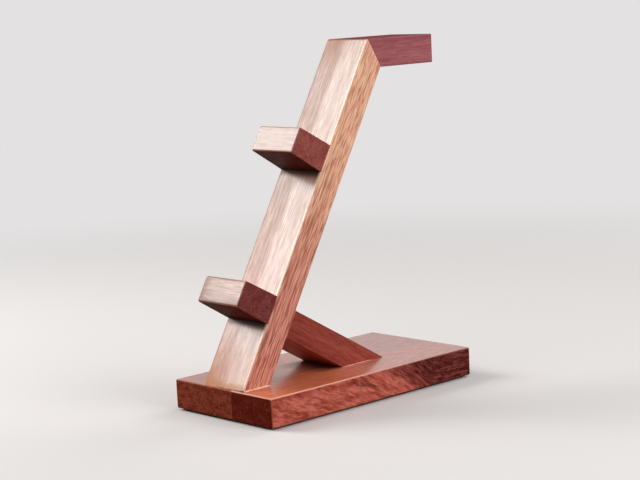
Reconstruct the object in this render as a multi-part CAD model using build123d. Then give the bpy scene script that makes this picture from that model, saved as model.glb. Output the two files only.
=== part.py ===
from build123d import *
from math import cos, radians, sin, tan
import os

# A wooden headphone stand. Millimetres; +X is the stand's right, -Y its front, +Z up.
# The origin is on the desk, under the middle of the base.

# Base board, glued up from two staves
base_width = 103.0
base_length = 200.0
base_thickness = 21.0
glue_line = 10.0            # to the right of the middle
base_corner_radius = 2.0    # the upright corners, seen from above
base_edge_radius = 1.2

# Felt that lines the underside of the base and covers the screw heads
felt_thickness = 1.5
felt_inset = 3.0            # from the base's edges
felt_corner_radius = 4.0

# The strip of wood that the post, arm, pegs and brace are cut from
strip_width = 42.0
strip_edge_radius = 0.8

# Post, leaning back from upright
post_lean = 30.0            # degrees
post_thickness = 21.0
post_setback = 2.0          # from the base's front end to the post's front face, at the foot
stand_height = 256.0        # from the desk to the top of the arm
mitre_edge_radius = 2.0     # the outer corner, where the post turns into the arm

# Arm, level and mitred to the post
arm_thickness = 21.0
arm_length = 67.0           # along its top, from the mitre to the free end

# Pegs, square to the post's front face and a little thinner at the tip
peg_thickness = 21.0
peg_tip_thickness = 19.5
peg_tip_radius = 1.6
upper_peg_height = 175.5    # up the post's front face, from the base to the middle of the peg
upper_peg_reach = 32.0
lower_peg_height = 60.5
lower_peg_reach = 31.5

# Brace, square to the post's rear face, with its foot cut level
brace_thickness = 21.0
brace_height = 45.5         # up the post's rear face, from the base to the middle of the brace

# Dowels across the glued joints, half in one piece and half in the other
dowel_radius = 3.0
dowel_length = 19.0
dowel_chamfer = 0.6
dowel_spacing = 26.0        # between the two dowels of a joint
brace_dowel_spacing = 10.0  # closer, so that they miss the lower peg's dowels
glue_space = 0.5            # past each end of a dowel

# Countersunk wood screws, driven up through the base
screw_radius = 2.0
screw_length = 35.0
screw_point_length = 4.0
screw_tip_radius = 0.3
screw_head_radius = 3.9
screw_head_height = 2.2
screw_head_rim = 0.3
screw_recess = 0.5          # from the underside of the base to the head
screw_play = 0.15           # around the shank, in the base
screw_spacing = 30.0
brace_screw_setback = 8.0   # from the brace's toe
socket_width = 2.5          # across the flats
socket_depth = 1.3

# Levels and directions that follow from the sizes above
lean = radians(post_lean)
base_bottom = felt_thickness
base_top = base_bottom + base_thickness
base_front = -base_length / 2
arm_underside = stand_height - arm_thickness
across = Vector(1, 0, 0)
downward = Vector(0, 0, -1)
up_the_post = Vector(0, sin(lean), cos(lean))
off_the_front = Vector(0, -cos(lean), sin(lean))
off_the_rear = -off_the_front

# The corners of the post and arm, seen from the side
foot_front = Vector(0, base_front + post_setback, base_top)
foot_rear = foot_front + Vector(0, post_thickness / cos(lean), 0)
mitre_top = foot_front + up_the_post * ((stand_height - base_top) / cos(lean))
mitre_inside = foot_rear + up_the_post * ((arm_underside - base_top) / cos(lean))
arm_end_top = mitre_top + Vector(0, arm_length, 0)
arm_end_bottom = arm_end_top - Vector(0, 0, arm_thickness)

# The corners of the brace, seen from the side
brace_head_top = foot_rear + up_the_post * (brace_height + brace_thickness / 2)
brace_head_bottom = foot_rear + up_the_post * (brace_height - brace_thickness / 2)
brace_tip = brace_head_top + off_the_rear * ((brace_head_top.Z - base_top) / sin(lean))
brace_toe = brace_head_bottom + off_the_rear * ((brace_head_bottom.Z - base_top) / sin(lean))

# The plane of each glued joint, with Z along its dowels
mitre_normal = across.cross(mitre_inside - mitre_top)
mitre_joint = Plane((mitre_top + mitre_inside) / 2, x_dir=across, z_dir=mitre_normal)
upper_peg_joint = Plane(foot_front + up_the_post * upper_peg_height, x_dir=across, z_dir=off_the_front)
lower_peg_joint = Plane(foot_front + up_the_post * lower_peg_height, x_dir=across, z_dir=off_the_front)
brace_joint = Plane(foot_rear + up_the_post * brace_height, x_dir=across, z_dir=off_the_rear)

# Where the screws stand: midway between the post's rear face at the base and its front face at the
# screws' tips, and just behind the brace's toe
screw_bottom = base_bottom + screw_recess
screw_bite = screw_bottom + screw_length - base_top
post_screw_y = (foot_rear.Y + foot_front.Y + screw_bite * tan(lean)) / 2
brace_screw_y = brace_toe.Y + brace_screw_setback


def strip(*corners):
    """A length of the strip whose side view has these corners."""
    side_view = make_face(Polyline(*corners, close=True))
    return extrude(side_view, amount=strip_width / 2, both=True)


def farthest_face(piece, direction):
    return piece.faces().sort_by(Axis((0, 0, 0), direction))[-1]


def rounded(piece, radius, *corners):
    """The piece with its edges across the strip rounded at these corners of the side view."""
    edges = [piece.edges().sort_by_distance(corner)[0] for corner in corners]
    return fillet(edges, radius)


def eased(piece, *glued_sides):
    """The piece with the rims of its side faces rounded, apart from where a neighbour is glued on."""
    rims = piece.faces().filter_by(Axis.X).edges()
    glued = [edge for side in glued_sides for edge in farthest_face(piece, side).edges()]
    return fillet([edge for edge in rims if edge not in glued], strip_edge_radius)


def dowels(joint, spacing):
    """The left and right dowels of a joint."""
    dowel = Cylinder(dowel_radius, dowel_length)
    dowel = chamfer(dowel.edges().filter_by(GeomType.CIRCLE), dowel_chamfer)
    return [joint.location * Pos(side * spacing / 2, 0, 0) * dowel for side in (-1, 1)]


def dowel_holes(joint, spacing):
    hole = Cylinder(dowel_radius, dowel_length + 2 * glue_space)
    return [joint.location * Pos(side * spacing / 2, 0, 0) * hole for side in (-1, 1)]


def turned(*profile):
    """A round solid on the Z axis, from the radius and level of each corner of its profile."""
    corners = [(radius, 0, level) for radius, level in profile]
    return revolve(make_face(Polyline(*corners, close=True)), Axis.Z)


def screw_shape():
    """A wood screw, head down, with the underside of its head at the origin."""
    return turned(
        (0, 0),
        (screw_head_radius, 0),
        (screw_head_radius, screw_head_rim),
        (screw_radius, screw_head_height),
        (screw_radius, screw_length - screw_point_length),
        (screw_tip_radius, screw_length),
        (0, screw_length),
    )


def screws(y):
    socket = extrude(RegularPolygon(socket_width / 2, 6, major_radius=False), socket_depth)
    screw = screw_shape() - socket
    return [Pos(side * screw_spacing / 2, y, screw_bottom) * screw for side in (-1, 1)]


def pilot_holes(y):
    return [Pos(side * screw_spacing / 2, y, screw_bottom) * screw_shape() for side in (-1, 1)]


def countersunk_holes(y):
    """Holes through the base, whose cones seat the screw heads."""
    hole_radius = screw_radius + screw_play
    head_slope = (screw_head_height - screw_head_rim) / (screw_head_radius - screw_radius)
    cone_top = screw_head_height - screw_play * head_slope
    hole = turned(
        (0, -screw_recess),
        (screw_head_radius, -screw_recess),
        (screw_head_radius, screw_head_rim),
        (hole_radius, cone_top),
        (hole_radius, base_top - screw_bottom),
        (0, base_top - screw_bottom),
    )
    return [Pos(side * screw_spacing / 2, y, screw_bottom) * hole for side in (-1, 1)]


def base_staves():
    """The two staves: the board is shaped and bored whole, then parted at the glue line."""
    outline = RectangleRounded(base_width, base_length, base_corner_radius)
    board = Pos(0, 0, base_bottom) * extrude(outline, base_thickness)
    rims = board.faces().filter_by(Axis.Z).edges()
    board = fillet(rims, base_edge_radius)
    board = board - countersunk_holes(post_screw_y) - countersunk_holes(brace_screw_y)
    parting = Plane((glue_line, 0, 0), z_dir=across)
    left = split(board, bisect_by=parting, keep=Keep.BOTTOM)
    right = split(board, bisect_by=parting, keep=Keep.TOP)
    return left, right


def square_stretch(joint, length):
    """The sliver that keeps the post's corners square where a flush piece is glued to its face."""
    sliver = Box(strip_width, length, strip_edge_radius, align=(Align.CENTER, Align.CENTER, Align.MAX))
    return joint.location * sliver


def post_and_arm():
    """The post and the arm: glued up and eased as one, then parted at the mitre."""
    blank = strip(foot_front, mitre_top, arm_end_top, arm_end_bottom, mitre_inside, foot_rear)
    blank = rounded(blank, mitre_edge_radius, mitre_top)
    blank = rounded(blank, strip_edge_radius, arm_end_top, arm_end_bottom)
    glued_up = eased(blank, downward)
    glued_up += square_stretch(upper_peg_joint, peg_thickness)
    glued_up += square_stretch(lower_peg_joint, peg_thickness)
    glued_up += square_stretch(brace_joint, brace_thickness)
    post = split(glued_up, bisect_by=mitre_joint, keep=Keep.BOTTOM)
    arm = split(glued_up, bisect_by=mitre_joint, keep=Keep.TOP)
    mitre_holes = dowel_holes(mitre_joint, dowel_spacing)
    post = post - mitre_holes - dowel_holes(upper_peg_joint, dowel_spacing)
    post = post - dowel_holes(lower_peg_joint, dowel_spacing)
    post = post - dowel_holes(brace_joint, brace_dowel_spacing) - pilot_holes(post_screw_y)
    return post, arm - mitre_holes


def peg(joint, reach):
    """A peg: its side view tapers from the root on the post to the tip."""
    root = joint.origin
    tip = root + off_the_front * reach
    half_root = up_the_post * (peg_thickness / 2)
    half_tip = up_the_post * (peg_tip_thickness / 2)
    blank = strip(root + half_root, tip + half_tip, tip - half_tip, root - half_root)
    blank = rounded(blank, peg_tip_radius, tip + half_tip, tip - half_tip)
    return eased(blank, off_the_rear) - dowel_holes(joint, dowel_spacing)


def brace():
    blank = strip(brace_head_top, brace_tip, brace_toe, brace_head_bottom)
    shaped = eased(blank, off_the_front, downward)
    return shaped - dowel_holes(brace_joint, brace_dowel_spacing) - pilot_holes(brace_screw_y)


def felt():
    outline = RectangleRounded(base_width - 2 * felt_inset, base_length - 2 * felt_inset, felt_corner_radius)
    return extrude(outline, felt_thickness)


def all_pieces():
    pieces = {}
    pieces["felt_liner"] = felt()
    pieces["base_left_stave"], pieces["base_right_stave"] = base_staves()
    pieces["post"], pieces["arm"] = post_and_arm()
    pieces["upper_peg"] = peg(upper_peg_joint, upper_peg_reach)
    pieces["lower_peg"] = peg(lower_peg_joint, lower_peg_reach)
    pieces["brace"] = brace()
    pairs = {
        "mitre_dowel": dowels(mitre_joint, dowel_spacing),
        "upper_peg_dowel": dowels(upper_peg_joint, dowel_spacing),
        "lower_peg_dowel": dowels(lower_peg_joint, dowel_spacing),
        "brace_dowel": dowels(brace_joint, brace_dowel_spacing),
        "post_screw": screws(post_screw_y),
        "brace_screw": screws(brace_screw_y),
    }
    for name, (left, right) in pairs.items():
        pieces[name + "_left"] = left
        pieces[name + "_right"] = right
    return pieces


os.makedirs("parts", exist_ok=True)
for name, piece in all_pieces().items():
    export_step(piece, "parts/" + name + ".step")
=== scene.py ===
from math import cos, pi, radians, sin

import bmesh
import bpy
from mathutils import Matrix, Vector, noise as lumpNoise


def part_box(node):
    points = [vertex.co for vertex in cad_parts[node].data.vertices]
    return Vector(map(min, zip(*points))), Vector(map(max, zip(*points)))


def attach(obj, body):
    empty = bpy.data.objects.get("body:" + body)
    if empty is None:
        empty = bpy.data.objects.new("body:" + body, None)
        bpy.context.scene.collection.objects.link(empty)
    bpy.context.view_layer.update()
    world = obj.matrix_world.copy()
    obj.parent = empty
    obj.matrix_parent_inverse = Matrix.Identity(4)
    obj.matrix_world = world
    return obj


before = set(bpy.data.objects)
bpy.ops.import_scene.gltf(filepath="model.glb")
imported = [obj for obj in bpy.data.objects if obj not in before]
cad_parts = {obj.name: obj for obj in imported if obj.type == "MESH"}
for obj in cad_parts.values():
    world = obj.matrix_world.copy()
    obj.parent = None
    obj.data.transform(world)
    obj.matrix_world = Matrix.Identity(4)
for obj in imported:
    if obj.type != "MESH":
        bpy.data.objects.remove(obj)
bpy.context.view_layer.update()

scene = bpy.context.scene
scene.view_settings.view_transform = "Standard"
print("frame loaded:", len(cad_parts), "nodes")

# where the viewer stands
viewer = {
    "place": (0.9184, -0.8555, 0.2964),     # m
    "azimuth": 47.03,     # degrees round from straight in front, towards the stand's right
    "elevation": 8.30,    # degrees that the view tips down
    "roll": -2.78,
    "lens": 98.56,        # mm
    "sensor": 36.0,       # mm wide
    "nearest": 0.05,      # m, nothing closer is drawn
}


def addCamera():
    data = bpy.data.cameras.new("viewer")
    data.lens = viewer["lens"]
    data.sensor_width = viewer["sensor"]
    data.clip_start = viewer["nearest"]
    camera = bpy.data.objects.new("viewer", data)
    scene.collection.objects.link(camera)
    turn = Matrix.Rotation(radians(viewer["azimuth"]), 3, "Z")
    tip = Matrix.Rotation(radians(90 - viewer["elevation"]), 3, "X")
    roll = Matrix.Rotation(radians(viewer["roll"]), 3, "Z")
    camera.rotation_euler = (turn @ tip @ roll).to_euler()
    camera.location = viewer["place"]
    scene.camera = camera


# softboxes: degrees round and up from the stand, metres away, wide and high, and how bright each looks
softboxes = {
    "key": {"azimuth": -57, "elevation": 31, "distance": 1.25, "width": 0.60, "height": 0.74,
            "radiance": 9.0, "colour": (1, 0.97, 0.93)},
    "side": {"azimuth": 96, "elevation": 18, "distance": 1.40, "width": 0.90, "height": 0.90,
             "radiance": 5.6, "colour": (1, 0.97, 0.94)},
    "overhead": {"azimuth": 20, "elevation": 80, "distance": 1.40, "width": 1.00, "height": 1.00,
                 "radiance": 0.9, "colour": (1, 1, 1)},
    "back": {"azimuth": 176, "elevation": 34, "distance": 1.50, "width": 0.90, "height": 0.70,
             "radiance": 3.0, "colour": (1, 0.98, 0.96)},
}
lampTarget = Vector((0, 0, 0.11))      # m, about the middle of the stand


def addSoftbox(name, box):
    data = bpy.data.lights.new(name, "AREA")
    data.shape = "RECTANGLE"
    data.size = box["width"]
    data.size_y = box["height"]
    data.energy = box["radiance"] * pi * box["width"] * box["height"]
    data.color = box["colour"]
    lamp = bpy.data.objects.new(name, data)
    scene.collection.objects.link(lamp)
    azimuth = radians(box["azimuth"])
    elevation = radians(box["elevation"])
    away = Vector((sin(azimuth) * cos(elevation), -cos(azimuth) * cos(elevation), sin(elevation)))
    lamp.location = lampTarget + away * box["distance"]
    lamp.rotation_euler = away.to_track_quat("Z", "Y").to_euler()


# small helpers for node trees

def plug(tree, node, socket, value):
    if isinstance(value, bpy.types.NodeSocket):
        tree.links.new(value, node.inputs[socket])
    else:
        node.inputs[socket].default_value = value


def addNode(tree, kind, settings=None, values=None):
    node = tree.nodes.new(kind)
    for name, value in (settings or {}).items():
        setattr(node, name, value)
    for socket, value in (values or {}).items():
        plug(tree, node, socket, value)
    return node


def calc(tree, operation, first, second=0.0, third=0.0):
    node = addNode(tree, "ShaderNodeMath", {"operation": operation}, {0: first, 1: second, 2: third})
    return node.outputs[0]


def times(tree, product, *factors):
    for factor in factors:
        product = calc(tree, "MULTIPLY", product, factor)
    return product


def vectorCalc(tree, operation, first, second=(0, 0, 0)):
    node = addNode(tree, "ShaderNodeVectorMath", {"operation": operation}, {0: first, 1: second})
    return node.outputs["Value" if operation in ("LENGTH", "DOT_PRODUCT") else "Vector"]


def scaled(tree, vector, scale):
    node = addNode(tree, "ShaderNodeVectorMath", {"operation": "SCALE"}, {0: vector, "Scale": scale})
    return node.outputs[0]


def stretched(tree, point, x, y, z):
    # a noise at the point that this returns has cells of these sizes
    return vectorCalc(tree, "MULTIPLY", point, (1 / x, 1 / y, 1 / z))


def splitUp(tree, vector):
    return addNode(tree, "ShaderNodeSeparateXYZ", None, {0: vector}).outputs


def remap(tree, value, low, high, toLow=0.0, toHigh=1.0, smooth=False):
    kind = "SMOOTHSTEP" if smooth else "LINEAR"
    node = addNode(tree, "ShaderNodeMapRange", {"interpolation_type": kind, "clamp": True},
                   {"Value": value, "From Min": low, "From Max": high, "To Min": toLow, "To Max": toHigh})
    return node.outputs["Result"]


def blend(tree, factor, first, second, mode="MIX"):
    node = addNode(tree, "ShaderNodeMix", {"data_type": "RGBA", "blend_type": mode, "clamp_factor": True},
                   {0: factor, 6: first, 7: second})
    return node.outputs[2]


def noise(tree, point, detail=2.0, rough=0.5):
    node = addNode(tree, "ShaderNodeTexNoise", {"noise_dimensions": "3D"},
                   {"Vector": point, "Scale": 1.0, "Detail": detail, "Roughness": rough})
    return node.outputs["Fac"]


def bumped(tree, height, strength, distance):
    node = addNode(tree, "ShaderNodeBump", None,
                   {"Height": height, "Strength": strength, "Distance": distance})
    return node.outputs["Normal"]


def noiseShift(tree, point, amount, detail=2.0):
    # a soft push that differs from place to place, up to about half the amount each way
    node = addNode(tree, "ShaderNodeTexNoise", None, {"Vector": point, "Scale": 1.0, "Detail": detail})
    return scaled(tree, vectorCalc(tree, "SUBTRACT", node.outputs["Color"], (0.5, 0.5, 0.5)), amount)


def newGroup(name, inputs, outputs):
    tree = bpy.data.node_groups.new(name, "ShaderNodeTree")
    for socket, kind, value in inputs:
        made = tree.interface.new_socket(socket, in_out="INPUT", socket_type="NodeSocket" + kind)
        if value is not None:
            made.default_value = value
    for socket, kind in outputs:
        tree.interface.new_socket(socket, in_out="OUTPUT", socket_type="NodeSocket" + kind)
    return tree, tree.nodes.new("NodeGroupInput").outputs, tree.nodes.new("NodeGroupOutput")


def newMaterial(name):
    material = bpy.data.materials.new(name)
    material.use_nodes = True
    return material, material.node_tree, material.node_tree.nodes["Principled BSDF"]


def seenDirectly(tree):
    # 1 for what the viewer, a gloss or a clear piece looks at, 0 for the light it gives
    rays = tree.nodes.new("ShaderNodeLightPath")
    seen = calc(tree, "MAXIMUM", rays.outputs["Is Camera Ray"], rays.outputs["Is Glossy Ray"])
    return calc(tree, "MAXIMUM", seen, rays.outputs["Is Transmission Ray"])


backdrop = {
    "colour": (0.77, 0.755, 0.755, 1),
    "strength": 1.0,
    "roomColour": (1, 1, 1, 1),     # the even light that comes from all round
    "ambient": 0.26,
}


def addWorld():
    world = bpy.data.worlds.new("studio")
    world.use_nodes = True
    tree = world.node_tree
    tree.nodes.clear()
    room = addNode(tree, "ShaderNodeBackground", None,
                   {"Color": backdrop["roomColour"], "Strength": backdrop["ambient"]})
    paper = addNode(tree, "ShaderNodeBackground", None,
                    {"Color": backdrop["colour"], "Strength": backdrop["strength"]})
    mix = addNode(tree, "ShaderNodeMixShader", None,
                  {0: seenDirectly(tree), 1: room.outputs[0], 2: paper.outputs[0]})
    addNode(tree, "ShaderNodeOutputWorld", None, {"Surface": mix.outputs[0]})
    scene.world = world


floorPaper = {
    "reach": 3.0,                        # m each way
    "colour": (0.73, 0.715, 0.715, 1),
    "bounce": (0.11, 0.10, 0.095, 1),    # the colour it lends to undersides
    "fadeFrom": 0.38,                    # m from the stand, where it starts to melt into the backdrop
    "fadeTo": 1.15,
    "roughness": 0.9,
    "gloss": 0.1,
}


def addFloor():
    mesh = bpy.data.meshes.new("floor")
    reach = floorPaper["reach"]
    corners = [(-reach, -reach, 0), (reach, -reach, 0), (reach, reach, 0), (-reach, reach, 0)]
    mesh.from_pydata(corners, [], [(0, 1, 2, 3)])
    floor = bpy.data.objects.new("floor", mesh)
    scene.collection.objects.link(floor)
    material, tree, shader = newMaterial("floorPaper")
    point = tree.nodes.new("ShaderNodeTexCoord").outputs["Object"]
    distance = vectorCalc(tree, "LENGTH", point)
    melt = remap(tree, distance, floorPaper["fadeFrom"], floorPaper["fadeTo"], 1.0, 0.0, smooth=True)
    seen = seenDirectly(tree)
    plug(tree, shader, "Base Color", blend(tree, seen, floorPaper["bounce"], floorPaper["colour"]))
    unseen = calc(tree, "SUBTRACT", 1.0, seen)
    plug(tree, shader, "Alpha", calc(tree, "MAXIMUM", melt, unseen))
    plug(tree, shader, "Roughness", floorPaper["roughness"])
    plug(tree, shader, "Specular IOR Level", floorPaper["gloss"])
    mesh.materials.append(material)


addCamera()
for name, box in softboxes.items():
    addSoftbox(name, box)
addWorld()
addFloor()
print("stage set")


# an effect that depends on the way a surface faces starts at the first of these cosines and is full
# at the second
facingSpans = {
    "end": (0.6, 0.9),
    "side": (0.6, 0.9),
    "face": (0.7, 0.97),
    "up": (0.0, 0.4),
    "nearEnd": (0.05, 0.3),
    "roundedOver": (0.995, 0.86),
}
edgeBelowShare = 0.15      # share of the edge tint that an edge facing down gets
noiseSpan = (0.34, 0.66)      # nearly all of a noise lies between these
innerSpan = (0.35, 0.65)      # a little less of it, for a stronger swing


def makeBoardFaces():
    # which way a surface faces on its own board, and where its edges are rounded over
    tree, given, out = newGroup("boardFaces", [
        ("Along", "Vector", (1, 0, 0)),
        ("Across", "Vector", (0, 1, 0)),
        ("Through", "Vector", (0, 0, 1)),
        ("End Share", "Float", 0.3),
    ], [
        ("End", "Float"),
        ("Side", "Float"),
        ("Edge", "Float"),
    ])
    normal = tree.nodes.new("ShaderNodeTexCoord").outputs["Normal"]
    facing = [calc(tree, "ABSOLUTE", vectorCalc(tree, "DOT_PRODUCT", normal, given[axis]))
              for axis in ("Along", "Across", "Through")]
    plug(tree, out, "End", remap(tree, facing[0], *facingSpans["end"]))
    plug(tree, out, "Side", remap(tree, facing[1], *facingSpans["side"]))
    most = calc(tree, "MAXIMUM", calc(tree, "MAXIMUM", facing[0], facing[1]), facing[2])
    # edges that face down take less of the edge tint, and those beside an end a share that the board gives
    upward = vectorCalc(tree, "DOT_PRODUCT", normal, (0, 0, 1))
    edgeByFacing = remap(tree, upward, *facingSpans["up"], edgeBelowShare, 1.0)
    besideEnd = remap(tree, facing[0], *facingSpans["nearEnd"], 1.0, given["End Share"])
    rounded = remap(tree, most, *facingSpans["roundedOver"])
    plug(tree, out, "Edge", times(tree, rounded, times(tree, edgeByFacing, besideEnd)))
    return tree


raggedSize = (6, 1.3, 1.3)      # mm along, across and through the board


def makeRimMask():
    # 1 along the outline of a face, fading inwards over a reach in mm, with a ragged line
    tree, given, out = newGroup("rimMask", [
        ("Board Point", "Vector", None),
        ("High", "Vector", (20, 10, 10)),
        ("Low", "Vector", (-20, -10, -10)),
        ("High Reach", "Vector", (3, 3, 3)),
        ("Low Reach", "Vector", (3, 3, 3)),
        ("Ragged", "Float", 1.0),
    ], [("Mask", "Float")])
    point = given["Board Point"]
    ragged = noiseShift(tree, stretched(tree, point, *raggedSize), given["Ragged"], 1.0)
    overHigh = vectorCalc(tree, "SUBTRACT", point, given["High"])
    high = vectorCalc(tree, "DIVIDE", overHigh, given["High Reach"])
    underLow = vectorCalc(tree, "SUBTRACT", given["Low"], point)
    low = vectorCalc(tree, "DIVIDE", underLow, given["Low Reach"])
    nearest = splitUp(tree, vectorCalc(tree, "ADD", vectorCalc(tree, "MAXIMUM", high, low), ragged))
    most = calc(tree, "MAXIMUM", nearest["X"], nearest["Y"])
    plug(tree, out, "Mask", remap(tree, most, -1.0, 0.0, smooth=True))
    return tree


divingShape = {
    "waverSize": (12, 12, 7),     # mm
    "levelling": 10.0,            # mm over which it levels out
    "stripeDepth": 12.0,          # mm across the board
}


def makeFigure():
    # grain that dives ever steeper along the board and then levels out, as round a knot
    tree, given, out = newGroup("divingGrain", [
        ("Board Point", "Vector", None),
        ("Slope", "Float", 0.3),
        ("Steepens From", "Float", -60.0),
        ("Steepens By", "Float", 0.004),
        ("Levels Out At", "Float", 45.0),
        ("Stripe Length", "Float", 30.0),
        ("Stripe Width", "Float", 4.0),
        ("Waver", "Float", 3.0),
    ], [
        ("Shift", "Vector"),
        ("Depth", "Float"),
        ("Stripes", "Float"),
    ])
    point = given["Board Point"]
    place = splitUp(tree, point)
    past = calc(tree, "MAXIMUM", calc(tree, "SUBTRACT", place["X"], given["Steepens From"]), 0.0)
    curve = times(tree, past, past, times(tree, given["Steepens By"], 0.5))
    dive = calc(tree, "MULTIPLY_ADD", place["X"], given["Slope"], curve)
    dive = calc(tree, "SMOOTH_MIN", dive, given["Levels Out At"], divingShape["levelling"])
    waverPoint = stretched(tree, point, *divingShape["waverSize"])
    waver = splitUp(tree, noiseShift(tree, waverPoint, given["Waver"], 3.0))["Z"]
    dive = calc(tree, "ADD", dive, waver)
    depth = calc(tree, "SUBTRACT", dive, place["Z"])
    shift = addNode(tree, "ShaderNodeCombineXYZ", None, {"Z": times(tree, dive, -1.0)})
    layered = addNode(tree, "ShaderNodeCombineXYZ", None, {
        "X": calc(tree, "DIVIDE", place["X"], given["Stripe Length"]),
        "Y": calc(tree, "DIVIDE", place["Y"], divingShape["stripeDepth"]),
        "Z": calc(tree, "DIVIDE", depth, given["Stripe Width"])})
    plug(tree, out, "Shift", shift.outputs[0])
    plug(tree, out, "Depth", depth)
    plug(tree, out, "Stripes", remap(tree, noise(tree, layered.outputs[0], 3.0, 0.65), *noiseSpan))
    return tree


# sizes of the marks in the wood, in mm along, across and through the grain
markSizes = {
    "wander": (80, 40, 40),
    "crinkle": (9, 5, 5),
    "bands": (170, 10, 10),
    "streaks": (50, 2.2, 2.2),
    "fibres": (15, 0.52, 0.52),
    "hairs": (7, 0.35, 0.35),
    "flecks": (7, 2.4, 2.4),
    "pores": (11, 0.6, 0.6),
    "poreCrowds": (60, 8, 8),
}
# the weave of cells on the ends: its three layers, and how far each turns the wood darker or paler
endWeave = [
    {"size": (20, 0.9, 2.8), "swing": (-0.7, 1.1)},
    {"size": (20, 4.0, 1.1), "swing": (-0.4, 0.6)},
    {"size": (20, 9.0, 6.0), "swing": (-0.6, 0.5)},
]
endFlecks = {
    "darkest": 0.62,      # share of the colour left in the darkest cells
    "darkAt": -0.8,
    "palest": 0.6,        # share of the fleck colour in the palest cells
    "paleAt": 1.3,
    "tint": 0.4,          # share of the end tint that the flecks take
    "calm": 0.35,         # share of the long marks that an end shows
}
# the part of its noise that each mark swings over
markSpans = {
    "Rings": (0.36, 0.64), "Bands": noiseSpan, "Streaks": noiseSpan, "Fibres": (0.4, 0.6),
    "Flecks": (0.36, 0.64), "Pores": (0.63, 0.74),
}
hairShare = 0.4         # share of the hairs in the fibres
poreCrowding = 0.12     # how strongly the pores crowd together
# how high each mark stands off the wood, and how much rougher it is
relief = {"Pores": -0.5, "Fibres": 0.3, "Streaks": 0.5, "Bands": 1.2}
rougher = {"Pores": 0.15, "Fibres": 0.12}


def growRings(tree, given, seeded, wander):
    # growth rings round a pith that may lean out of line with the board
    shift = scaled(tree, given["Lean"], splitUp(tree, given["Board Point"])["X"])
    leaning = vectorCalc(tree, "ADD", vectorCalc(tree, "ADD", given["Board Point"], wander), shift)
    crinkle = noiseShift(tree, stretched(tree, seeded, *markSizes["crinkle"]), given["Crinkle"])
    fromPith = vectorCalc(tree, "SUBTRACT", vectorCalc(tree, "ADD", leaning, crinkle), given["Pith"])
    radius = vectorCalc(tree, "LENGTH", vectorCalc(tree, "MULTIPLY", fromPith, (0, 1, 1)))
    ringCount = calc(tree, "DIVIDE", radius, given["Ring Spacing"])
    ringNoise = addNode(tree, "ShaderNodeTexNoise", {"noise_dimensions": "1D"},
                        {"W": ringCount, "Scale": 1.0, "Detail": 2.0, "Roughness": 0.6})
    return ringNoise.outputs["Fac"]


def showCells(tree, given, seeded, colour):
    # the ends drink more oil, turn darker and show a weave of cells
    drunk = blend(tree, given["End"], (1, 1, 1, 1), given["End Tint"])
    colour = blend(tree, 1.0, colour, drunk, "MULTIPLY")
    upright, level, clouds = [
        remap(tree, noise(tree, stretched(tree, seeded, *layer["size"]), 1.0), *noiseSpan, *layer["swing"])
        for layer in endWeave]
    weave = calc(tree, "ADD", calc(tree, "ADD", upright, level), clouds)
    weave = times(tree, weave, given["End Mottle"], given["End"])
    colour = scaled(tree, colour, remap(tree, weave, endFlecks["darkAt"], 0.0, endFlecks["darkest"], 1.0))
    fleckTint = blend(tree, endFlecks["tint"], given["End Tint"], (1, 1, 1, 1))
    fleck = blend(tree, 1.0, given["Pale"], fleckTint, "MULTIPLY")
    flecked = remap(tree, weave, 0.0, endFlecks["paleAt"], 0.0, endFlecks["palest"])
    return blend(tree, flecked, colour, fleck)


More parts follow.
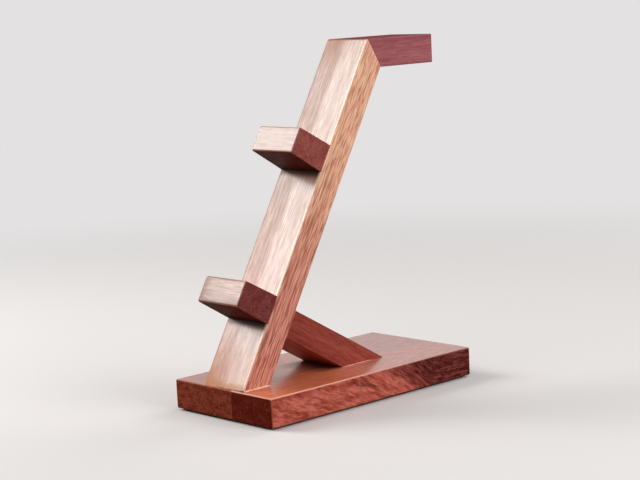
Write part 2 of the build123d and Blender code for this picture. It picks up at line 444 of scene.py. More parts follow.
def makeWoodGrain():
    # one board: X runs along the grain, Y across it and Z through it, all in mm
    tree, given, out = newGroup("woodGrain", [
        ("Board Point", "Vector", None),
        ("Seed", "Vector", (0, 0, 0)),
        ("End", "Float", 0.0),
        ("Edge", "Float", 0.0),
        ("Calm", "Float", 0.0),
        ("Pale", "Color", (0.6, 0.3, 0.2, 1)),
        ("Middle", "Color", (0.45, 0.2, 0.12, 1)),
        ("Dark", "Color", (0.25, 0.08, 0.05, 1)),
        ("Pore", "Color", (0.12, 0.03, 0.02, 1)),
        ("End Tint", "Color", (0.6, 0.45, 0.45, 1)),
        ("End Mottle", "Float", 0.3),
        ("Edge Tint", "Color", (0.6, 0.3, 0.2, 1)),
        ("Edge Paint", "Float", 0.3),
        ("Pith", "Vector", (0, 60, 90)),
        ("Lean", "Vector", (0, 0, 0)),
        ("Ring Spacing", "Float", 4.0),
        ("Stretch", "Vector", (1, 1, 1)),
        ("Wander", "Float", 3.0),
        ("Crinkle", "Float", 0.0),
        ("Rings", "Float", 0.4),
        ("Bands", "Float", 0.4),
        ("Streaks", "Float", 0.5),
        ("Fibres", "Float", 0.5),
        ("Flecks", "Float", 0.2),
        ("Pores", "Float", 0.6),
        ("Roughness", "Float", 0.45),
    ], [
        ("Color", "Color"),
        ("Roughness", "Float"),
        ("Height", "Float"),
        ("Nap", "Float"),
    ])
    seeded = vectorCalc(tree, "ADD", given["Board Point"], given["Seed"])
    # the grain wanders a little from side to side along the board
    wander = noiseShift(tree, stretched(tree, seeded, *markSizes["wander"]), given["Wander"])
    bent = vectorCalc(tree, "ADD", seeded, wander)
    rings = growRings(tree, given, seeded, wander)
    # long soft bands, streaks, fibres and hair-fine fibres
    drawnOut = vectorCalc(tree, "DIVIDE", bent, given["Stretch"])
    coarse = noise(tree, stretched(tree, drawnOut, *markSizes["fibres"]), 1.0)
    hair = noise(tree, stretched(tree, drawnOut, *markSizes["hairs"]), 1.0)
    fibres = calc(tree, "MULTIPLY_ADD", hair, hairShare, times(tree, coarse, 1 - hairShare))
    bands = noise(tree, stretched(tree, bent, *markSizes["bands"]), 1.0)
    streaks = noise(tree, stretched(tree, bent, *markSizes["streaks"]), 1.0)
    flecks = noise(tree, stretched(tree, bent, *markSizes["flecks"]), 2.0)
    noises = {"Rings": rings, "Bands": bands, "Streaks": streaks, "Fibres": fibres, "Flecks": flecks}
    parts = {}
    tone = 0.0
    for mark, value in noises.items():
        parts[mark] = remap(tree, value, *markSpans[mark])
        tone = calc(tree, "MULTIPLY_ADD", calc(tree, "SUBTRACT", parts[mark], 0.5), given[mark], tone)
    endLoud = remap(tree, given["End"], 0, 1, 1, endFlecks["calm"])
    loud = times(tree, calc(tree, "SUBTRACT", 1.0, given["Calm"]), endLoud)
    tone = calc(tree, "MULTIPLY_ADD", tone, loud, 0.5)
    colour = blend(tree, remap(tree, tone, 0.0, 0.5), given["Pale"], given["Middle"])
    colour = blend(tree, remap(tree, tone, 0.5, 1.0), colour, given["Dark"])
    # open pores: thin dark dashes along the grain, dots on the ends
    dashes = noise(tree, stretched(tree, drawnOut, *markSizes["pores"]), 0.5)
    crowd = noise(tree, stretched(tree, seeded, *markSizes["poreCrowds"]), 1.0)
    crowded = calc(tree, "MULTIPLY_ADD", crowd, poreCrowding, dashes)
    poreLine = remap(tree, crowded, *markSpans["Pores"])
    colour = blend(tree, times(tree, poreLine, given["Pores"], loud), colour, given["Pore"])
    colour = showCells(tree, given, seeded, colour)
    # the rounded edges take a tint of their own, on most boards a painted highlight and on some painted
    # shade
    edgeShare = times(tree, given["Edge"], given["Edge Paint"])
    plug(tree, out, "Color", blend(tree, edgeShare, colour, given["Edge Tint"]))
    swing = calc(tree, "SUBTRACT", parts["Fibres"], 0.5)
    rough = calc(tree, "MULTIPLY_ADD", swing, rougher["Fibres"], given["Roughness"])
    plug(tree, out, "Roughness", calc(tree, "MULTIPLY_ADD", poreLine, rougher["Pores"], rough))
    height = times(tree, poreLine, relief["Pores"])
    for mark in ("Fibres", "Streaks", "Bands"):
        height = calc(tree, "MULTIPLY_ADD", parts[mark], relief[mark], height)
    plug(tree, out, "Height", height)
    plug(tree, out, "Nap", parts["Fibres"])
    return tree


boardFaces = makeBoardFaces()
rimMask = makeRimMask()
divingGrain = makeFigure()
woodGrain = makeWoodGrain()
print("wood groups made")

lean = radians(30)
upThePost = (0, sin(lean), cos(lean))
downThePost = (0, -sin(lean), -cos(lean))
offTheFront = (0, -cos(lean), sin(lean))
offTheRear = (0, cos(lean), -sin(lean))
sideways = (1, 0, 0)
rearward = (0, 1, 0)
upwards = (0, 0, 1)


stirSize = (22, 9, 9)      # mm, the patches that stir the drift of a board's colour
napSpan = (0.15, 0.85)     # from the open fibres to the closed ones
woodRelief = 0.0001        # m that the marks stand off the wood at full bump
# an edge that a rim says nothing about lies out of reach
offBoard = {"+X": (1000, 1), "+Y": (1000, 1), "-X": (-1000, 1), "-Y": (-1000, 1)}
# colours of the shade painted into the dark corners of a varnished face
paintedShade = {
    "root": (0.012, 0.003, 0.002, 1),
    "shadeUnderBrace": (0.06, 0.008, 0.004, 1),
    "joint": (0.05, 0.015, 0.01, 1),
}


def runFigure(tree, figure, boardPoint, side):
    # how far the figure darkens the long side, and the board's points bent along its grain
    diving = addNode(tree, "ShaderNodeGroup", {"node_tree": divingGrain}, {
        "Board Point": boardPoint, "Slope": figure["slope"], "Steepens From": figure["steepensFrom"],
        "Steepens By": figure["steepensBy"], "Levels Out At": figure["levelsOutAt"],
        "Stripe Length": figure["length"], "Stripe Width": figure["width"], "Waver": figure["waver"]})
    swing = calc(tree, "SUBTRACT", diving.outputs["Stripes"], 0.5)
    depth = calc(tree, "MULTIPLY_ADD", swing, figure["swing"], diving.outputs["Depth"])
    drift = remap(tree, depth, *figure["darkDepth"], smooth=True)
    middle, halfWidth, strength = figure["band"]
    offBand = calc(tree, "ABSOLUTE", calc(tree, "SUBTRACT", depth, middle))
    band = remap(tree, offBand, 0.0, halfWidth, strength, 0.0, smooth=True)
    shift = scaled(tree, diving.outputs["Shift"], side)
    return calc(tree, "MAXIMUM", drift, band), vectorCalc(tree, "ADD", boardPoint, shift)


def paintRootShade(tree, face, place, mask, colour):
    # painted shade, darkest in the corner where the piece meets the post
    root = times(tree, remap(tree, place["Z"], *face["rootShade"], smooth=True), mask)
    return blend(tree, root, colour, paintedShade["root"])


def paintShadeUnderBrace(tree, face, place, mask, colour, film):
    # painted shade in the low corner in front of the brace, under its overhang
    spot = face["shadeUnderBrace"]
    builds = remap(tree, place["X"], *spot["builds"], smooth=True)
    nearMiddle = remap(tree, calc(tree, "ABSOLUTE", place["Y"]), *spot["offMiddle"], spot["strength"], 0.0)
    corner = times(tree, builds, mask, nearMiddle, remap(tree, place["X"], *spot["ends"], 1.0, 0.0))
    colour = blend(tree, corner, colour, paintedShade["shadeUnderBrace"])
    return colour, times(tree, film, remap(tree, corner, 0.0, 1.0, 1.0, spot["filmLeft"]))


def layRibbons(tree, face, place, boardPoint, film):
    # the varnish lies thinner on one side, least at the step, and in long ribbons
    ribbons = face["ribbons"]
    least = remap(tree, place["X"], *ribbons["thinSide"], smooth=True)
    sideFilm = remap(tree, place["Y"], *ribbons["step"], least, 1.0, smooth=True)
    fromStep = calc(tree, "ABSOLUTE", calc(tree, "SUBTRACT", place["Y"], ribbons["leastAt"]))
    stepFilm = remap(tree, fromStep, 0, ribbons["reach"], ribbons["least"], 1, smooth=True)
    waves = noise(tree, stretched(tree, boardPoint, *ribbons["size"]), 2.0)
    return times(tree, film, sideFilm, stepFilm, remap(tree, waves, *innerSpan, *ribbons["swing"]))


def paintJointShadows(tree, face, place, mask, colour, film):
    # painted shadow in the corner just below where a peg meets the post
    joints = face["joints"]
    for line in joints["lines"]:
        above = calc(tree, "SUBTRACT", place["X"], line)
        builds = remap(tree, above, *joints["builds"], smooth=True)
        ends = remap(tree, above, *joints["ends"], joints["strength"], 0.0)
        corner = times(tree, builds, ends, mask, remap(tree, place["Y"], *joints["across"]))
        colour = blend(tree, corner, colour, paintedShade["joint"])
        film = times(tree, film, remap(tree, corner, 0.0, 1.0, 1.0, joints["filmLeft"]))
    return colour, film


def paintRims(tree, face, place, boardPoint, mask, colour, film):
    # the colour and the varnish change along a face's outline, mostly as painted shade where the lamps'
    # reflection falls off and once as a painted highlight
    for rim in face["rims"]:
        edges = {**offBoard, **rim["edges"]}
        rimNode = addNode(tree, "ShaderNodeGroup", {"node_tree": rimMask}, {
            "Board Point": boardPoint, "Ragged": rim["ragged"],
            "High": (edges["+X"][0], edges["+Y"][0], 0), "High Reach": (edges["+X"][1], edges["+Y"][1], 1),
            "Low": (edges["-X"][0], edges["-Y"][0], 0), "Low Reach": (edges["-X"][1], edges["-Y"][1], 1)})
        low, high, least = rim["fadesAcross"]
        faded = remap(tree, place["Y"], low, high, 1.0, least)
        amount = times(tree, rimNode.outputs[0], faded, mask, rim["strength"])
        colour = blend(tree, amount, colour, (*rim["colour"], 1))
        film = times(tree, film, remap(tree, amount, 0.0, 1.0, 1.0, rim["filmLeft"]))
    return colour, film


def makeWood(name, board):
    material, tree, shader = newMaterial(name)
    coords = tree.nodes.new("ShaderNodeTexCoord")
    along = Vector(board["along"])
    across = Vector(board["across"])
    through = along.cross(across)
    turn = Matrix((along, across, through)).transposed().to_euler()
    boardPoint = addNode(tree, "ShaderNodeMapping", {"vector_type": "TEXTURE"}, {
        "Vector": coords.outputs["Object"], "Location": board["middlePoint"],
        "Rotation": turn, "Scale": (0.001, 0.001, 0.001)}).outputs[0]      # m to mm
    place = splitUp(tree, boardPoint)
    faces = addNode(tree, "ShaderNodeGroup", {"node_tree": boardFaces}, {
        "Along": along, "Across": across, "Through": through, "End Share": board["endShare"]})
    # the board's colour drifts from one end to the other
    stir = calc(tree, "SUBTRACT", noise(tree, stretched(tree, boardPoint, *stirSize), 2.0), 0.5)
    drift = calc(tree, "MULTIPLY_ADD", stir, board["driftStir"], place["X"])
    drift = remap(tree, drift, *board["drift"], smooth=True)
    plainDrift = remap(tree, place["X"], *board["plainDrift"], smooth=True)
    grainPoint = boardPoint
    if "figure" in board:
        drift, grainPoint = runFigure(tree, board["figure"], boardPoint, faces.outputs["Side"])
    offSides = times(tree, plainDrift, board["driftOffSides"])
    drift = remap(tree, faces.outputs["Side"], 0.0, 1.0, offSides, drift)
    edge = faces.outputs["Edge"]
    if "edgeFades" in board:
        edge = times(tree, edge, remap(tree, place["X"], *board["edgeFades"]),
                     remap(tree, place["Z"], *board["edgeSinks"]))
    grain = addNode(tree, "ShaderNodeGroup", {"node_tree": woodGrain}, {
        "Board Point": grainPoint, "Seed": board["seed"], "End": faces.outputs["End"], "Edge": edge})
    for tone in ("pale", "middle", "dark"):
        start, finish = board[tone]
        plug(tree, grain, tone.title(), blend(tree, drift, (*start, 1), (*finish, 1)))
    for socket, value in board["grain"].items():
        plug(tree, grain, socket, value)
    edgeTint = board["grain"]["Edge Tint"]
    for axis, low, high, tint in board.get("edgeTints", ()):
        edgeTint = blend(tree, remap(tree, place[axis], low, high), edgeTint, tint)
    plug(tree, grain, "Edge Tint", edgeTint)
    # some faces took more varnish, look calmer and turned another tint
    film = board.get("film", 0.0)
    calm = 0.0
    colour = grain.outputs["Color"]
    rough = grain.outputs["Roughness"]
    for face in board["faces"]:
        facing = vectorCalc(tree, "DOT_PRODUCT", coords.outputs["Normal"], face["toward"])
        mask = remap(tree, facing, *facingSpans["face"])
        faceFilm = remap(tree, plainDrift, 0.0, 1.0, face["film"], face.get("filmFar", face["film"]))
        film = calc(tree, "MULTIPLY_ADD", mask, faceFilm, film)
        calm = calc(tree, "MULTIPLY_ADD", mask, face["calm"], calm)
        if "matt" in face:
            rough = calc(tree, "MULTIPLY_ADD", mask, face["matt"], rough)
        tint = blend(tree, plainDrift, (*face["tint"], 1), (*face.get("tintFar", face["tint"]), 1))
        colour = blend(tree, mask, colour, blend(tree, 1.0, colour, tint, "MULTIPLY"))
        if "rootShade" in face:
            colour = paintRootShade(tree, face, place, mask, colour)
        if "shadeUnderBrace" in face:
            colour, film = paintShadeUnderBrace(tree, face, place, mask, colour, film)
        if "ribbons" in face:
            film = layRibbons(tree, face, place, boardPoint, film)
        if "joints" in face:
            colour, film = paintJointShadows(tree, face, place, mask, colour, film)
        if "rims" in face:
            colour, film = paintRims(tree, face, place, boardPoint, mask, colour, film)
    plug(tree, grain, "Calm", calm)
    plug(tree, shader, "Base Color", colour)
    plug(tree, shader, "Roughness", rough)
    plug(tree, shader, "Normal", bumped(tree, grain.outputs["Height"], board["bump"], woodRelief))
    plug(tree, shader, "Specular IOR Level", board["oil"])
    if "film" in board:
        # varnish sinks into the open grain
        sunk = remap(tree, grain.outputs["Nap"], *napSpan, 1 + board["sink"], 1 - board["sink"])
        plug(tree, shader, "Coat Weight", times(tree, film, sunk))
        plug(tree, shader, "Coat Roughness", board["coatRoughness"])
        plug(tree, shader, "Coat IOR", board["coatDensity"])
    return material


def dress(node, material):
    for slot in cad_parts[node].material_slots:
        slot.material = material


def middleOf(node):
    low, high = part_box(node)
    return tuple((a + b) / 2 for a, b in zip(low, high))


pegHalf = 10.2      # mm from a peg's middle to its underside where it meets the post


def jointLine(peg):
    # where the underside of a peg meets the post, in mm up the post from its middle
    rise = Vector(middleOf(peg)) - Vector(middleOf("post"))
    return 1000 * rise.dot(Vector(upThePost)) - pegHalf


# In a board, lengths are in mm from its middle: X along its grain, Y across it and Z through it.
# Colours come in pairs for its two ends. A face's film adds varnish, calm quietens its grain, matt makes
# it rougher, tint multiplies its colour, and tintFar and filmFar are for its other end. A rim's edges
# say where they lie and how far in its colour reaches.
postBoard = {
    "along": upThePost, "across": sideways, "middlePoint": middleOf("post"), "seed": (300, 100, 200),
    "pale": ((0.73, 0.32, 0.24), (0.91, 0.57, 0.39)),      # low end, then top end
    "middle": ((0.57, 0.21, 0.15), (0.79, 0.42, 0.285)),
    "dark": ((0.33, 0.09, 0.065), (0.57, 0.25, 0.15)),
    "drift": (-80, 68),          # X where the change of colour starts and ends on the long sides
    "driftStir": 40,             # how far that change wanders
    "plainDrift": (-70, 55),     # the same for a face's tint and film, without wandering
    "driftOffSides": 0.3,        # share of the change of colour on the other faces
    "endShare": 0.3,             # share of the edge tint beside an end
    # the cream edge tint is a painted highlight along the post's rounded edges
    "grain": {"Pore": (0.17, 0.035, 0.025, 1), "Pith": (0, 240, -60), "Ring Spacing": 3.0, "Wander": 2.0,
              "Stretch": (1.1, 1.5, 1.5), "Rings": 0.1, "Bands": 0.12, "Streaks": 0.06, "Fibres": 1.05,
              "Flecks": 0.15, "Pores": 0.5, "Roughness": 0.42, "Edge Tint": (1.0, 0.66, 0.49, 1),
              "Edge Paint": 0.95},
    # along which axis another edge tint comes in, from where to where: dark on the left edges as painted
    # shade, orange-brown at the top end, partly stain and partly painted shade
    "edgeTints": (("Y", 1, -1, (0.24, 0.12, 0.08, 1)), ("X", 130.5, 132.5, (0.40, 0.17, 0.085, 1))),
    "film": 0.08,                # varnish all over, to which each face adds its own
    "faces": [{
        # the front's tint is a shaded copy of the wood, darker and less red than the sides, offsetting the
        # key lamp's reflection on it
        "toward": offTheFront, "film": 0.89, "filmFar": 0.88, "calm": 0.5, "tint": (0.665, 0.66, 0.515),
        "tintFar": (0.555, 0.605, 0.505),
        "ribbons": {"thinSide": (-110, -60, 0.88, 0.67), "step": (-5, 0), "leastAt": -7.8, "reach": 7,
                    "least": 0.86, "size": (110, 5, 5), "swing": (0.95, 1.02)},
        "joints": {"lines": (jointLine("upper_peg"), jointLine("lower_peg")), "builds": (-6.0, -1.2),
                   "ends": (9.0, 10.0), "across": (-24, 6, 0.75, 1), "strength": 0.95, "filmLeft": 0.1},
        # this rim is painted shade along the top and left, where the lamp's reflection falls off
        "rims": [{"edges": {"+X": (131.8, 34), "-Y": (-21, 3.2)}, "ragged": 0.6,
                  "fadesAcross": (-8, 4, 0.3), "strength": 0.9, "filmLeft": 0.3,
                  "colour": (0.44, 0.22, 0.15)},
                 # this rim is a painted highlight along the right edge
                 {"edges": {"+Y": (21, 3.0)}, "ragged": 0.2, "fadesAcross": (-21, 21, 1.0),
                  "strength": 1.0, "filmLeft": 1.08, "colour": (0.86, 0.62, 0.46)},
                 # this rim is painted shade towards the foot, where the lamp's reflection stops
                 {"edges": {"-X": (-137.9, 50)}, "ragged": 0.9, "fadesAcross": (-19, 12, 0.15),
                  "strength": 0.95, "filmLeft": 0.0, "colour": (0.60, 0.25, 0.125)},
                 # this rim at the top edge is partly stain, partly painted shade
                 {"edges": {"+X": (135.6, 6)}, "ragged": 1.2, "fadesAcross": (-21, 10, 1.25),
                  "strength": 0.8, "filmLeft": 0.0, "colour": (0.50, 0.21, 0.10)},
                 # this rim is painted shade along the foot, where the lamp's reflection stops
                 {"edges": {"-X": (-135.6, 4)}, "ragged": 1.2, "fadesAcross": (-21, 21, 0.8),
                  "strength": 0.85, "filmLeft": 0.1, "colour": (0.62, 0.27, 0.12)}]}],
    "bump": 0.15,
    "oil": 0.06,                 # gloss of the bare wood
    "coatRoughness": 0.24, "coatDensity": 1.6,
    "sink": 0.16,                # how far the varnish sinks into open grain
}
dress("post", makeWood("postWood", postBoard))

# what most of the other boards share
plainBoard = {
    "across": sideways, "driftStir": 10, "driftOffSides": 1.0, "endShare": 0.3, "coatRoughness": 0.24,
}
armBoard = {
    **plainBoard, "along": rearward, "middlePoint": middleOf("arm"), "seed": (100, 400, 700),
    "pale": [(0.39, 0.13, 0.14)] * 2,      # the same at both ends
    "middle": [(0.32, 0.092, 0.104)] * 2,
    "dark": [(0.24, 0.065, 0.074)] * 2,
    "drift": (-40, 40), "plainDrift": (-40, 40),
    "grain": {"Pore": (0.10, 0.02, 0.02, 1), "Pith": (0, 60, 40), "Ring Spacing": 6.0,
              "Rings": 0.35, "Bands": 0.5, "Streaks": 0.35, "Fibres": 0.35, "Flecks": 0.3, "Pores": 0.2,
              "Roughness": 0.45, "Edge Tint": (0.40, 0.16, 0.14, 1), "Edge Paint": 0.15},
    "film": 0.1,
    # the top's darker tint is painted shade along the arm's top
    "faces": [{"toward": upwards, "film": -0.1, "calm": 0.3, "matt": 0.45, "tint": (0.6, 0.5, 0.5)}],
    "bump": 0.4, "oil": 0.05, "coatDensity": 1.5, "sink": 0.1,
}
dress("arm", makeWood("armWood", armBoard))

# the rims paint shade along a peg front's rounded edges, where the lamp's reflection falls off
upperPegRim = {
    "edges": {"+X": (21, 0.4), "+Y": (9.8, 0.8), "-X": (-21, 1.5), "-Y": (-9.8, 3.5)}, "ragged": 0.6,
    "fadesAcross": (-10, 10, 0.6), "strength": 0.75, "filmLeft": 0.55, "colour": (0.80, 0.47, 0.31),
}
upperPegBoard = {
    **plainBoard, "along": sideways, "across": upThePost, "middlePoint": middleOf("upper_peg"),
    "seed": (500, 200, 100),
    "pale": [(0.50, 0.25, 0.17)] * 2,
    "middle": [(0.40, 0.17, 0.12)] * 2,
    "dark": [(0.28, 0.10, 0.07)] * 2,
    "drift": (-20, 20), "plainDrift": (-8, 5),
    # the pale edge tint is a painted highlight along the peg's rounded edges
    "grain": {"Pore": (0.2, 0.05, 0.04, 1), "Pith": (0, 60, 40), "Ring Spacing": 5.0,
              "Rings": 0.3, "Bands": 0.4, "Streaks": 0.4, "Fibres": 0.6, "Flecks": 0.5, "Pores": 0.8,
              "Roughness": 0.42, "End Tint": (0.65, 0.35, 0.425, 1), "End Mottle": 0.5,
              "Edge Tint": (0.92, 0.66, 0.54, 1), "Edge Paint": 0.45},
    "film": 0.08,
    # the front's tint is a shaded copy of the wood, darker and less red, offsetting the key lamp's
    # reflection on it
    "faces": [{"toward": offTheFront, "film": 0.9, "calm": 0.35, "tint": (0.79, 0.86, 0.80),
               "rims": [upperPegRim]},
              {"toward": upThePost, "film": 0.8, "calm": 0.3, "tint": (1, 1, 1)},
              # the underside's tint is painted light: grey to the left as a painted reflection, dark red
              # to the right as painted shade
              {"toward": downThePost, "film": -0.08, "calm": 0.3, "matt": 0.12, "tint": (0.28, 0.21, 0.19),
               "tintFar": (0.34, 0.08, 0.055), "rootShade": (-6, -15, 0.0, 0.85)}],
    "bump": 0.2, "oil": 0.03, "coatDensity": 1.58, "sink": 0.12,
}
dress("upper_peg", makeWood("upperPegWood", upperPegBoard))

# painted shade along the lower peg front's edges too
lowerPegRim = dict(
    upperPegRim, edges={"+X": (21, 0.8), "+Y": (9.8, 3.0), "-X": (-21, 8.5), "-Y": (-9.8, 3.2)},
    ragged=1.1, strength=1.0, filmLeft=0.3, colour=(0.36, 0.17, 0.11))
lowerPegShade = dict(
    upperPegRim, edges={"-X": (-21, 30), "-Y": (-9.8, 9)}, ragged=0.5, filmLeft=0.58,
    colour=(0.20, 0.09, 0.065))
lowerPegBoard = dict(
    upperPegBoard, middlePoint=middleOf("lower_peg"), seed=(800, 300, 400), coatDensity=1.46)
lowerPegBoard["faces"] = [
    # the front's tint is a shaded copy of the wood, offsetting the key lamp's reflection on it
    {"toward": offTheFront, "film": 1.0, "calm": 0.1, "tint": (0.92, 0.92, 0.87),
     "rims": [lowerPegShade, lowerPegRim]},
    {"toward": upThePost, "film": 0.8, "calm": 0.3, "tint": (1, 1, 1)},
    # the underside's tint is painted light: grey to the left as a painted reflection, dark red to the
    # right as painted shade
    {"toward": downThePost, "film": -0.08, "calm": 0.3, "matt": 0.2, "tint": (0.28, 0.20, 0.18),
     "tintFar": (0.36, 0.08, 0.055), "rootShade": (-4, -13, 0.0, 0.95)}]
lowerPegBoard["grain"] = dict(upperPegBoard["grain"])
lowerPegBoard["grain"].update({"End Tint": (0.39, 0.175, 0.23, 1), "End Mottle": 0.4,
                               "Edge Tint": (0.7, 0.42, 0.3, 1), "Edge Paint": 0.2})
dress("lower_peg", makeWood("lowerPegWood", lowerPegBoard))

braceBoard = {
    **plainBoard, "along": offTheRear, "middlePoint": middleOf("brace"), "seed": (200, 500, 300),
    "pale": ((0.31, 0.06, 0.04), (0.34, 0.075, 0.052)),      # head, then foot
    "middle": ((0.24, 0.036, 0.023), (0.26, 0.045, 0.03)),
    "dark": ((0.16, 0.022, 0.015), (0.18, 0.028, 0.018)),
    "drift": (-40, 40), "plainDrift": (-40, 40),
    # the dark edge tint is painted shade along the brace's rounded edges
    "grain": {"Pore": (0.09, 0.012, 0.01, 1), "Pith": (0, 60, 40), "Ring Spacing": 5.0,
              "Rings": 0.35, "Bands": 0.4, "Streaks": 0.3, "Fibres": 0.4, "Flecks": 0.3, "Pores": 0.3,
              "Roughness": 0.45, "Edge Tint": (0.07, 0.012, 0.01, 1), "Edge Paint": 0.75},
    "film": 0.06,
    "faces": [{"toward": upThePost, "film": 0.6, "calm": 0.3, "tint": (1, 1, 1)},
              # the underside's tint, paler than the other faces, is painted light where little light
              # reaches
              {"toward": downThePost, "film": 0.0, "calm": 0.2, "tint": (1.5, 1.38, 1.25)}],
    "bump": 0.4, "oil": 0.12, "coatDensity": 1.5, "sink": 0.1,
}
dress("brace", makeWood("braceWood", braceBoard))

rightStaveBoard = {
    "along": rearward, "across": sideways, "middlePoint": (0, 0, 0.012), "seed": (600, 800, 200),
    "pale": ((0.65, 0.186, 0.136), (0.21, 0.054, 0.046)),      # front end, then rear end; the rear's dark on the long sides is partly figure, partly painted shade
    "middle": ((0.49, 0.107, 0.074), (0.105, 0.016, 0.0125)),
    "dark": ((0.30, 0.05, 0.032), (0.042, 0.003, 0.0022)),
    "drift": (10, 75), "driftStir": 20, "plainDrift": (-35, 45), "driftOffSides": 0.85,
    "edgeFades": (-80, 60, 1.0, 0.12),      # the painted edge highlight fades towards the rear
    "edgeSinks": (-9, -2, 1.0, 0.0),        # and from the lower edges to the upper ones
    "endShare": 1.1,
    "figure": {"slope": 0.28, "steepensFrom": -60, "steepensBy": 0.0042, "levelsOutAt": 46, "length": 30,
               "width": 4.0, "waver": 6.0, "swing": 12,
               "darkDepth": (15, 38.5),       # where the long sides start to darken, and where they are darkest
               "band": (6.5, 5.0, 0.62)},     # how deep a dark band lies, half its width, its strength
    # the pale edge tint is a painted highlight along the staves' rounded edges
    "grain": {"Pore": (0.14, 0.02, 0.012, 1), "Pith": (0, 111, 15), "Lean": (0, 0.05, 0.03),
              "Ring Spacing": 1.2, "Wander": 8.0, "Crinkle": 1.0, "Rings": 0.38, "Bands": 0.15,
              "Streaks": 0.25, "Fibres": 0.45, "Flecks": 0.6, "Pores": 0.4, "Roughness": 0.42,
              "End Tint": (0.26, 0.068, 0.002, 1), "End Mottle": 0.42, "Edge Tint": (0.80, 0.42, 0.36, 1),
              "Edge Paint": 0.8},
    "film": 0.02,
    # the top's tint is a painted reflection: it turns the top paler and pinker, most of all towards the
    # rear
    "faces": [{"toward": upwards, "film": 0.8, "filmFar": 0.98, "calm": 0.7, "tint": (1.24, 1.5, 1.02),
               "tintFar": (2.5, 4.7, 4.7),
               "shadeUnderBrace": {"builds": (-36, -5), "ends": (-1, 1), "offMiddle": (16, 24),
                              "strength": 0.95, "filmLeft": 0.15}}],
    "bump": 0.4, "oil": 0.03, "coatRoughness": 0.2, "coatDensity": 1.48, "sink": 0.03,
}
dress("base_right_stave", makeWood("rightStaveWood", rightStaveBoard))

leftStaveBoard = dict(
    rightStaveBoard, seed=(900, 100, 600), endShare=0.1,
    pale=((0.40, 0.13, 0.10), (0.20, 0.05, 0.043)),
    middle=((0.31, 0.08, 0.06), (0.10, 0.018, 0.015)),
    dark=((0.20, 0.04, 0.03), (0.045, 0.006, 0.005)))
# the same painted reflection on this stave's top
leftStaveBoard["faces"] = [dict(rightStaveBoard["faces"][0], film=0.98, tint=(1.25, 1.5, 1.15))]
leftStaveBoard["grain"] = dict(rightStaveBoard["grain"])
leftStaveBoard["grain"].update({"End Tint": (0.83, 0.44, 0.19, 1), "End Mottle": 1.7,
                                "Pith": (0, -200, 40), "Edge Paint": 0.4})
dress("base_left_stave", makeWood("leftStaveWood", leftStaveBoard))
print("boards dressed")

# each pair of dowels lies across its own joint, and takes no varnish
dowelBoard = {
    **plainBoard, "seed": (50, 900, 400),
    "pale": [(0.66, 0.47, 0.30)] * 2,
    "middle": [(0.56, 0.37, 0.22)] * 2,
    "dark": [(0.42, 0.25, 0.14)] * 2,
    "drift": (-10, 10), "driftStir": 5, "plainDrift": (-10, 10),
    "grain": {"Pore": (0.30, 0.16, 0.08, 1), "Pith": (0, 14, 9), "Ring Spacing": 2.0, "Rings": 0.5,
              "Fibres": 0.5, "Pores": 0.4, "Roughness": 0.6, "End Tint": (0.7, 0.6, 0.5, 1),
              "Edge Tint": (0.6, 0.4, 0.25, 1), "Edge Paint": 0.0},
    "faces": [], "bump": 0.5, "oil": 0.3,
}
dowelRuns = {"mitre": rearward, "upper_peg": offTheFront, "lower_peg": offTheFront, "brace": upThePost}
for joint, run in dowelRuns.items():
    for side in ("left", "right"):
        node = f"{joint}_dowel_{side}"
        board = dict(dowelBoard, along=run, middlePoint=middleOf(node))
        dress(node, makeWood(f"{joint}DowelBeech_{side}", board))


screwSteel = {
    "bright": (0.66, 0.65, 0.62, 1),
    "dull": (0.36, 0.34, 0.31, 1),
    "marks": (0.02, 0.02, 0.0002),        # m
    "patches": (0.002, 0.002, 0.004),
    "roughness": (0.25, 0.5),             # of the bright patches, then of the dull ones
    "bump": 0.3,
    "relief": 0.0001,                     # m
}


def makeTurnedSteel():
    # fine turning marks round an upright shank, with a little oil dulling
    tree, given, out = newGroup("turnedSteel", [
        ("Point", "Vector", None),
        ("Bright", "Color", (0.7, 0.7, 0.7, 1)),
        ("Dull", "Color", (0.4, 0.4, 0.4, 1)),
    ], [
        ("Color", "Color"),
        ("Roughness", "Float"),
        ("Height", "Float"),
    ])
    marks = noise(tree, stretched(tree, given["Point"], *screwSteel["marks"]), 1.0)
    patches = noise(tree, stretched(tree, given["Point"], *screwSteel["patches"]), 2.0)
    plug(tree, out, "Color", blend(tree, remap(tree, patches, 0.4, 0.62), given["Bright"], given["Dull"]))
    plug(tree, out, "Roughness", remap(tree, patches, *innerSpan, *screwSteel["roughness"]))
    plug(tree, out, "Height", marks)
    return tree


turnedSteel = makeTurnedSteel()


def makeScrewSteel():
    material, tree, shader = newMaterial("screwSteel")
    point = tree.nodes.new("ShaderNodeTexCoord").outputs["Object"]
    steel = addNode(tree, "ShaderNodeGroup", {"node_tree": turnedSteel},
                    {"Point": point, "Bright": screwSteel["bright"], "Dull": screwSteel["dull"]})
    normal = bumped(tree, steel.outputs["Height"], screwSteel["bump"], screwSteel["relief"])
    plug(tree, shader, "Base Color", steel.outputs["Color"])
    plug(tree, shader, "Roughness", steel.outputs["Roughness"])
    plug(tree, shader, "Normal", normal)
    plug(tree, shader, "Metallic", 1.0)
    return material


steel = makeScrewSteel()
for joint in ("post", "brace"):
    for side in ("left", "right"):
        dress(f"{joint}_screw_{side}", steel)

linerFelt = {
    "dark": (0.035, 0.018, 0.014, 1),
    "light": (0.11, 0.066, 0.052, 1),
    "fibre": 0.0006,       # m across a tuft
    "roughness": 0.95,
    "gloss": 0.15,
    "sheen": 0.08,
    "sheenRoughness": 0.5,
    "cloudShare": 0.3,     # share of the broad clouds in its shade, the rest is the tufts
    "bump": 0.8,
    "relief": 0.0003,      # m
}


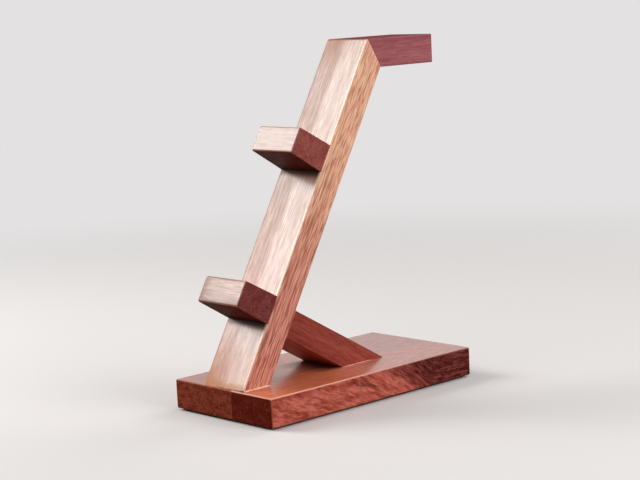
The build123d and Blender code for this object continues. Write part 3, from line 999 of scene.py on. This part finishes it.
def makeLinerFelt():
    material, tree, shader = newMaterial("linerFelt")
    point = tree.nodes.new("ShaderNodeTexCoord").outputs["Object"]
    size = linerFelt["fibre"]
    knot = size * 5
    patch = size * 20
    matting = noiseShift(tree, stretched(tree, point, knot, knot, knot), size * 4)
    matted = vectorCalc(tree, "ADD", point, matting)
    tufts = noise(tree, stretched(tree, matted, size * 2.5, size, size), 3.0, 0.7)
    clouds = noise(tree, stretched(tree, point, patch, patch, patch), 2.0)
    cloudShare = linerFelt["cloudShare"]
    shade = calc(tree, "MULTIPLY_ADD", clouds, cloudShare, times(tree, tufts, 1 - cloudShare))
    colour = blend(tree, remap(tree, shade, *innerSpan), linerFelt["dark"], linerFelt["light"])
    plug(tree, shader, "Base Color", colour)
    plug(tree, shader, "Normal", bumped(tree, tufts, linerFelt["bump"], linerFelt["relief"]))
    plug(tree, shader, "Roughness", linerFelt["roughness"])
    plug(tree, shader, "Specular IOR Level", linerFelt["gloss"])
    plug(tree, shader, "Sheen Weight", linerFelt["sheen"])
    plug(tree, shader, "Sheen Roughness", linerFelt["sheenRoughness"])
    return material


dress("felt_liner", makeLinerFelt())
print("fixings and felt dressed")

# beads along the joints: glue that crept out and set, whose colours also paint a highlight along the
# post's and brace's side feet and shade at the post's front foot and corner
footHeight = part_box("post")[0][2]
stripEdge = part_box("post")[1][0]
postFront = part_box("post")[0][1]
stripThickness = 0.021      # m, of the post and the brace
postRear = postFront + stripThickness / cos(lean)
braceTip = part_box("brace")[1][1]
braceToe = braceTip - stripThickness / sin(lean)
beads = {
    # a glue bead whose pale colour also paints the highlight along the post's side foot
    "postSideGlueAndHighlight": {
        "start": (stripEdge, postFront + 0.0006, footHeight),
        "finish": (stripEdge, postRear, footHeight),
        "radius": 0.00075, "lumps": 0.25, "slot": "post_wood",
        "pale": (0.93, 0.66, 0.54, 1), "dark": (0.72, 0.36, 0.26, 1)},
    # a glue bead whose pale colour also paints the highlight along the brace's side foot
    "braceSideGlueAndHighlight": {
        "start": (stripEdge, braceToe, footHeight),
        "finish": (stripEdge, braceToe + 0.030, footHeight),
        "radius": 0.0005, "lumps": 0.45, "slot": "brace_wood",
        "pale": (0.85, 0.42, 0.33, 1), "dark": (0.50, 0.14, 0.09, 1)},
    # a dark blob standing for the shaded notch at the post's front right foot: painted shade
    "postCornerShadeSpot": {
        "start": (stripEdge - 0.0032, postFront - 0.0002, footHeight),
        "finish": (stripEdge + 0.0002, postFront - 0.0002, footHeight),
        "radius": 0.0008, "lumps": 0.2, "slot": "post_wood",
        "pale": (0.06, 0.02, 0.015, 1), "dark": (0.02, 0.008, 0.006, 1)},
    # a dark line along the post's front foot: partly glue, partly painted contact shadow
    "postFootGlueAndShadow": {
        "start": (-stripEdge * 0.35, postFront, footHeight),
        "finish": (stripEdge * 0.98, postFront, footHeight),
        "radius": 0.00045, "lumps": 0.6, "slot": "post_wood",
        "pale": (0.40, 0.16, 0.07, 1), "dark": (0.12, 0.035, 0.02, 1)},
}
beadShape = {
    "steps": 40,            # along it
    "sides": 10,            # round it
    "coarseLumps": 260,     # lumps to a metre
    "fineLumps": 900,
    "fineShare": 0.7,
    "tip": 0.15,            # share of the thickness at the very tip
    "swell": 14,            # how fast it swells from there
}
beadFinish = {
    "clot": 0.0015,              # m across a clot of colour
    "roughness": (0.35, 0.6),    # of the pale clots, then of the dark ones
    "gloss": 0.2,
}


def makeBeadFinish(name, bead):
    material, tree, shader = newMaterial(name)
    point = tree.nodes.new("ShaderNodeTexCoord").outputs["Object"]
    clot = beadFinish["clot"]
    clots = noise(tree, stretched(tree, point, clot, clot, clot), 2.0)
    colour = blend(tree, remap(tree, clots, *innerSpan), bead["pale"], bead["dark"])
    plug(tree, shader, "Base Color", colour)
    plug(tree, shader, "Roughness", remap(tree, clots, 0.3, 0.7, *beadFinish["roughness"]))
    plug(tree, shader, "Specular IOR Level", beadFinish["gloss"])
    return material


def addBead(name, bead):
    start = Vector(bead["start"])
    finish = Vector(bead["finish"])
    run = (finish - start).normalized()
    aside = run.cross(Vector((0, 0, 1)))
    steps = beadShape["steps"]
    sides = beadShape["sides"]
    tip = beadShape["tip"]
    swell = beadShape["swell"]
    mesh = bmesh.new()
    rings = []
    for step in range(steps + 1):
        share = step / steps
        centre = start.lerp(finish, share)
        coarse = lumpNoise.noise(centre * beadShape["coarseLumps"])
        fine = lumpNoise.noise(centre * beadShape["fineLumps"])
        lump = 1 + bead["lumps"] * (coarse + beadShape["fineShare"] * fine)
        taper = min(1.0, tip + share * swell, tip + (1 - share) * swell)
        reach = bead["radius"] * lump * taper
        ring = []
        for corner in range(sides):
            angle = 2 * pi * corner / sides
            spoke = aside * cos(angle) + Vector((0, 0, sin(angle)))
            ring.append(mesh.verts.new(centre + reach * spoke))
        rings.append(ring)
    for near, far in zip(rings, rings[1:]):
        for corner in range(sides):
            follow = (corner + 1) % sides
            mesh.faces.new((near[corner], near[follow], far[follow], far[corner]))
    mesh.faces.new(rings[0])
    mesh.faces.new(reversed(rings[-1]))
    bmesh.ops.recalc_face_normals(mesh, faces=mesh.faces)
    for face in mesh.faces:
        face.smooth = True
    data = bpy.data.meshes.new(name)
    mesh.to_mesh(data)
    mesh.free()
    data.materials.append(makeBeadFinish(name, bead))
    piece = bpy.data.objects.new(name, data)
    scene.collection.objects.link(piece)
    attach(piece, "root")


for name, bead in beads.items():
    addBead(name, bead)
print("beads laid")
